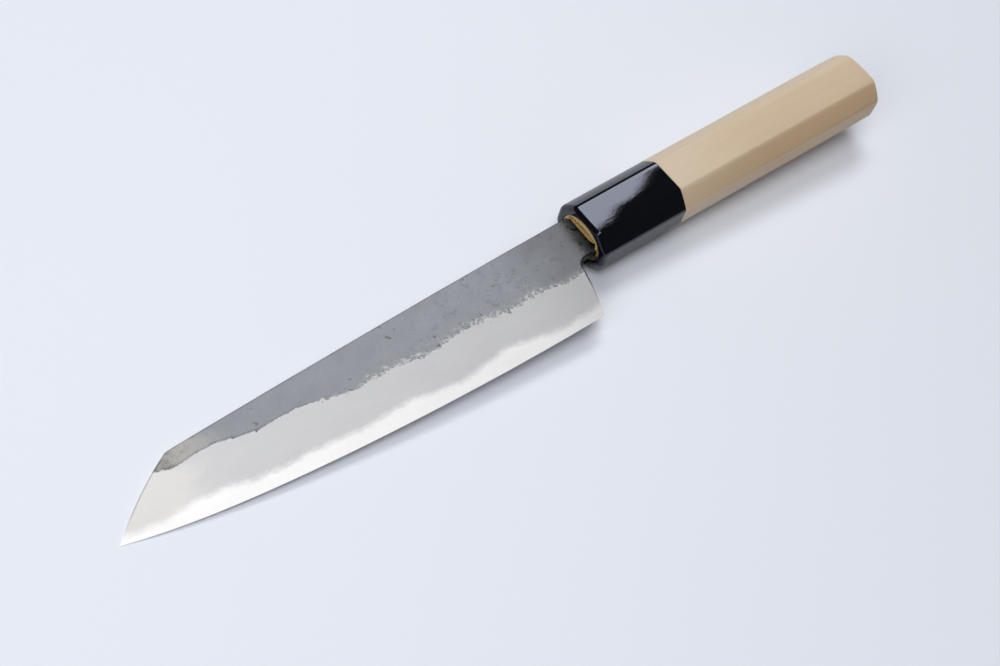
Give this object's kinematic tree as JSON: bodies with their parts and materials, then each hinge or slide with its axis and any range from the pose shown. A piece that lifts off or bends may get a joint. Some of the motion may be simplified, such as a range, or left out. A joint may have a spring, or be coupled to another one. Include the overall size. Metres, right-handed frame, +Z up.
{
  "type": "kitchen knife",
  "caption": "Small kiritsuke kitchen knife with a laminated black-scale blade, angled tip, horn ferrule and octagonal wooden handle.",
  "frame": {"origin": "middle of the knife's bounding box, on the table that it lies on", "axes": "+X along the knife from tip to butt, +Y from the cutting edge to the spine, +Z up off the table and out of the blade's right face"},
  "size_m": [0.283, 0.0364, 0.0231],
  "materials": {
    "core_steel": "polished hard steel, bright along the edge",
    "scaled_iron": "soft iron, black forge scale on the flats and a satin ground bevel",
    "black_horn": "polished black horn",
    "handle_wood": "pale bare wood, sanded smooth",
    "slip_wood": "rough split wood",
    "bedding_resin": "set resin, out of sight"
  },
  "bodies": {
    "root": {"blade_core": "core_steel", "right_cladding": "scaled_iron", "left_cladding": "scaled_iron", "ferrule": "black_horn", "handle_body": "handle_wood", "tang_slip": "slip_wood", "tang_bedding": "bedding_resin"}
  },
  "joints": []
}
